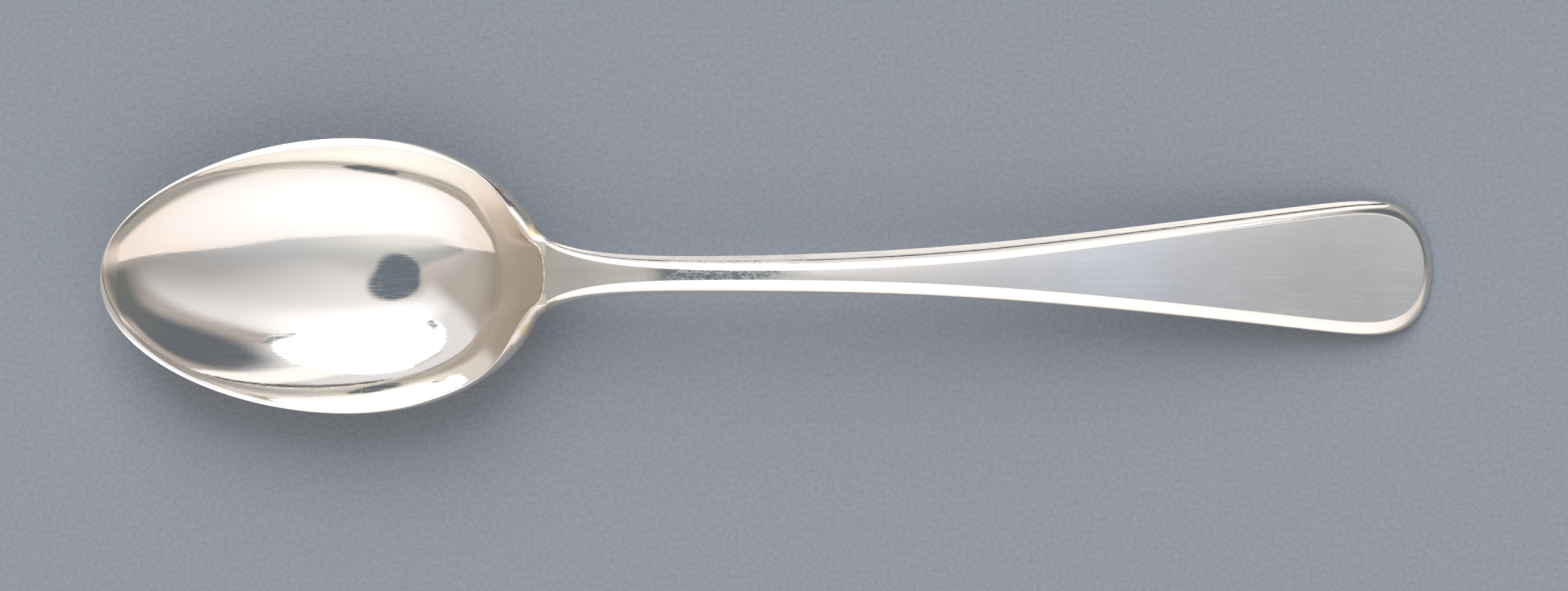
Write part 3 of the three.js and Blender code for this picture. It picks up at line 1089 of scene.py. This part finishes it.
# The drop under the neck
dropSizes = {
    "length": 10.5,
    "width": 8.2,
    "thickness": 1.1,
    "edge": 0.35,
    "tipRound": 3.4,
    "gap": 0.3,
    "sink": 0.08,  # how far it goes up into the bowl
}
domePower = 6  # how soon it gains its thickness behind its tip
dropFacets = {"across": 60, "along": 70, "wall": 6}
# the drop takes the stem's finish, with the painted shade of the stem's root over it
dropFinish = dict(stemFinish, roughness=0.16, stain=(0.5, 0.36, 0.2), stains=[(-45, 0, 8.5, 4, 0.9, 0.4)])


def makeDrop(material):
    tree, s = startTree("dropShape", dropSizes)
    rim = SimpleNamespace(**bowlSizes)
    under = underEgg(rim)
    sideTurn = math.asin(dropSizes["width"] / 2 / under.half)
    tipAt = seamAt - dropSizes["length"]
    tipReach, cornerReach = [findRise(lambda reach: eggPoint(under, reach, 0)[0], 0, 1, station)
                             for station in (tipAt, tipAt + dropSizes["tipRound"])]

    def dropPoint(side, along, face):
        start = mix(cornerReach, tipReach, rootOf(larger(1 - side * side, 0.0)))
        x, y, z = underPoint(rim, mix(start, 1, along), side * sideTurn)
        dome = (1 - (side * side) ** 2) * (1 - (1 - along) ** domePower)
        return [x, y, z - mix(-s.sink, s.gap + mix(s.edge, s.thickness, dome), face)]

    across, along, wall = dropFacets["across"], dropFacets["along"], dropFacets["wall"]
    sheets = [
        addSheet(tree, across, along, lambda a, b: dropPoint(2 * a - 1, b * b, 1)),
        addSheet(tree, across, along, lambda a, b: dropPoint(2 * a - 1, b * b, 0)),
        addSheet(tree, across, wall, lambda a, b: dropPoint(2 * a - 1, a * 0, b)),
        addSheet(tree, wall, along, lambda a, b: dropPoint(b * 0 - 1, b * b, a)),
        addSheet(tree, wall, along, lambda a, b: dropPoint(b * 0 + 1, b * b, a)),
    ]
    endTree(tree, sheets, material)
    drop = runTree(tree, dropSizes, "dropSilver")
    closeAt(drop, seamAt, cut=True)
    return drop


settleBowl(bowlSizes)
settleStem(stemSizes, bowlSizes)
bowl = makeBowl(metalMaterial("bowlPolish", bowlFinish))
stem = makeStem(metalMaterial("stemPolish", stemFinish))
drop = makeDrop(metalMaterial("dropPolish", dropFinish))
solder = makeSolder(metalMaterial("solderTanAndShade", solderFinish))
for piece, node, slot in (
    (bowl, "bowl", "silver_bowl"),
    (stem, "stem", "silver_stem"),
    (drop, "heel_drop", "silver_drop"),
    (solder, "solder_seam", "hard_solder"),
):
    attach(piece, "root")
    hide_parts(node)
print("pieces placed")

# The floor
floorHalf = 4
paperFinish = {
    "dark": (0.192, 0.205, 0.226),
    "light": (0.306, 0.324, 0.356),
    "fibres": 1500.0,  # to a metre
    "relief": 0.12,
    "roughness": 0.9,
}


def makePaper():
    paper = bpy.data.materials.new("paper")
    paper.use_nodes = True
    tree = paper.node_tree
    shader = tree.nodes["Principled BSDF"]
    vector = tree.nodes.new("ShaderNodeTexCoord").outputs["Object"]
    noise = addNode(tree, "ShaderNodeTexNoise", Vector=vector,
                    Scale=paperFinish["fibres"], Detail=2.0, Roughness=0.6)
    fibres = Field(tree, noise.outputs[0], {})
    tone = paintOver(tree, (*paperFinish["dark"], 1), fibres, paperFinish["light"])
    tree.links.new(tone, shader.inputs["Base Color"])
    relief = addNode(tree, "ShaderNodeBump", Distance=mm, Height=paperFinish["relief"] * fibres)
    tree.links.new(relief.outputs[0], shader.inputs["Normal"])
    shader.inputs["Roughness"].default_value = paperFinish["roughness"]
    return paper


floorMesh = bpy.data.meshes.new("floor")
corners = [(x * floorHalf, y * floorHalf, 0) for x, y in ((-1, -1), (1, -1), (1, 1), (-1, 1))]
floorMesh.from_pydata(corners, [], [(0, 1, 2, 3)])
floorMesh.materials.append(makePaper())
floor = bpy.data.objects.new("floor", floorMesh)
bpy.context.scene.collection.objects.link(floor)

# The camera, straight above the spoon's middle: distance in metres, the rest in millimetres and degrees
view = {"distance": 1.2, "aimX": 2.78, "aimY": -3.63, "aimZ": 10, "frameWidth": 247.4, "roll": -0.45}
sensorWidth = 36
cameraData = bpy.data.cameras.new("camera")
cameraData.sensor_width = sensorWidth
cameraData.lens = sensorWidth * view["distance"] / (view["frameWidth"] * mm)
camera = bpy.data.objects.new("camera", cameraData)
camera.location = (view["aimX"] * mm, view["aimY"] * mm, view["aimZ"] * mm + view["distance"])
camera.rotation_euler = (0, 0, math.radians(view["roll"]))
bpy.context.scene.collection.objects.link(camera)
bpy.context.scene.camera = camera
bpy.context.scene.view_settings.view_transform = "Standard"


# The studio: each light or wall is a patch of sky, placed in degrees right and up from straight above.
# Later patches lie over earlier ones.
def skyPatch(at, half, soft, colour, turn=0, oval=False):
    return SimpleNamespace(at=at, half=half, soft=soft, colour=colour, turn=turn, oval=oval)


overhead = (0.5, 0.47, 0.45)
cameraTone = (0.16, 0.2, 0.25)
studio = {
    "leftSide": skyPatch((-80, -5), (16, 45), 40, (0.3, 0.25, 0.2), turn=-5),
    "topWall": skyPatch((0, 100), (65, 16), 2, (1.1, 1.1, 1.1)),
    "creamGlow": skyPatch((-34, 74), (62, 37), 9, (0.85, 0.85, 0.9), turn=-45),
    "topBand": skyPatch((5, 62), (40, 7), 4, (1.15, 1.15, 1.15), turn=35),
    "darkGap": skyPatch((42, 48), (25, 18), 9, (0.15, 0.17, 0.2), turn=-45, oval=True),
    "darkSide": skyPatch((67, 22), (19, 26), 16, (0.17, 0.19, 0.2), turn=5),
    "paleArc": skyPatch((16, 12), (29, 18), 7, (0.9, 0.9, 0.95), turn=-25, oval=True),
    "greyArc": skyPatch((9, -21), (43, 16), 25, (0.25, 0.25, 0.27), turn=35, oval=True),
    "glow": skyPatch((-2, 23), (19, 10), 12, (1.4, 1.4, 1.5), oval=True),
    "roundLight": skyPatch((-8, 46), (29, 23), 3, (4, 4.3, 4.5), turn=-40, oval=True),
    "lightRing": skyPatch((5, 82), (45, 1.5), 1.5, (0.15, 0.15, 0.15)),
    "lightWedge": skyPatch((18, 33), (6, 1), 2, (0.3, 0.35, 0.4), turn=55),
    "lightClip": skyPatch((-30, 65), (8, 2), 2, (0.65, 0.7, 0.75), turn=40),
    "lightFoot": skyPatch((-23, 31), (5, 2), 2, (0.45, 0.47, 0.55), turn=-50),
    "stand": skyPatch((-23, -16), (16, 6), 5, (0.17, 0.18, 0.16), turn=25),
    "creamPanel": skyPatch((0, -61), (82, 44), 2, (1, 0.9, 0.87), turn=5),
    "panelLeft": skyPatch((-56, -28), (15, 4), 2, (0.95, 0.85, 0.8), turn=-10),
    "paleUnder": skyPatch((-11, -17), (17, 4), 4, (0.55, 0.48, 0.4), turn=15, oval=True),
    "creamHeart": skyPatch((-5, -46), (33, 28), 60, (1.3, 1.4, 1.5), turn=30, oval=True),
    "panelGap": skyPatch((50, -76), (48, 17), 10, (0.4, 0.4, 0.37), turn=45),
    "leftWall": skyPatch((-100, 0), (31, 90), 3, (0.4, 0.35, 0.3)),
    "cameraSpot": skyPatch((-5, 3), (7, 7), 2, cameraTone, oval=True),
    "cameraFoot": skyPatch((-6, -2), (6, 7), 2, cameraTone, oval=True),
}
backdrop = (0.31, 0.33, 0.37)
nearlyUpright = 0.0001  # keeps straight up from dividing by zero


def patchMask(right, up, patch):
    turn = math.radians(patch.turn)
    x, y = right - patch.at[0], up - patch.at[1]
    x, y = x * math.cos(turn) + y * math.sin(turn), y * math.cos(turn) - x * math.sin(turn)
    if patch.oval:
        reach = rootOf((x / patch.half[0]) ** 2 + (y / patch.half[1]) ** 2)
        return softEdge((1 - reach) * min(patch.half), patch.soft)
    wide, tall = [softEdge(half - sizeOf(off), patch.soft) for half, off in zip(patch.half, (x, y))]
    return wide * tall


def makeStudio():
    world = bpy.data.worlds.new("studio")
    world.use_nodes = True
    tree = world.node_tree
    split = tree.nodes.new("ShaderNodeSeparateXYZ")
    tree.links.new(tree.nodes.new("ShaderNodeTexCoord").outputs["Generated"], split.inputs[0])
    x, y, z = [Field(tree, split.outputs[axis], {}) for axis in "XYZ"]
    level = larger(rootOf(x * x + y * y), nearlyUpright)
    off = mathNode("ARCCOSINE", z) * (180 / math.pi) / level
    right, up = x * off, y * off
    colour = (*overhead, 1)
    for patch in studio.values():
        colour = paintOver(tree, colour, patchMask(right, up, patch), patch.colour)
    seen = Field(tree, tree.nodes.new("ShaderNodeLightPath").outputs["Is Camera Ray"], {})
    tree.links.new(paintOver(tree, colour, seen, backdrop), tree.nodes["Background"].inputs["Color"])
    bpy.context.scene.world = world


makeStudio()
print("floor, camera and studio placed")
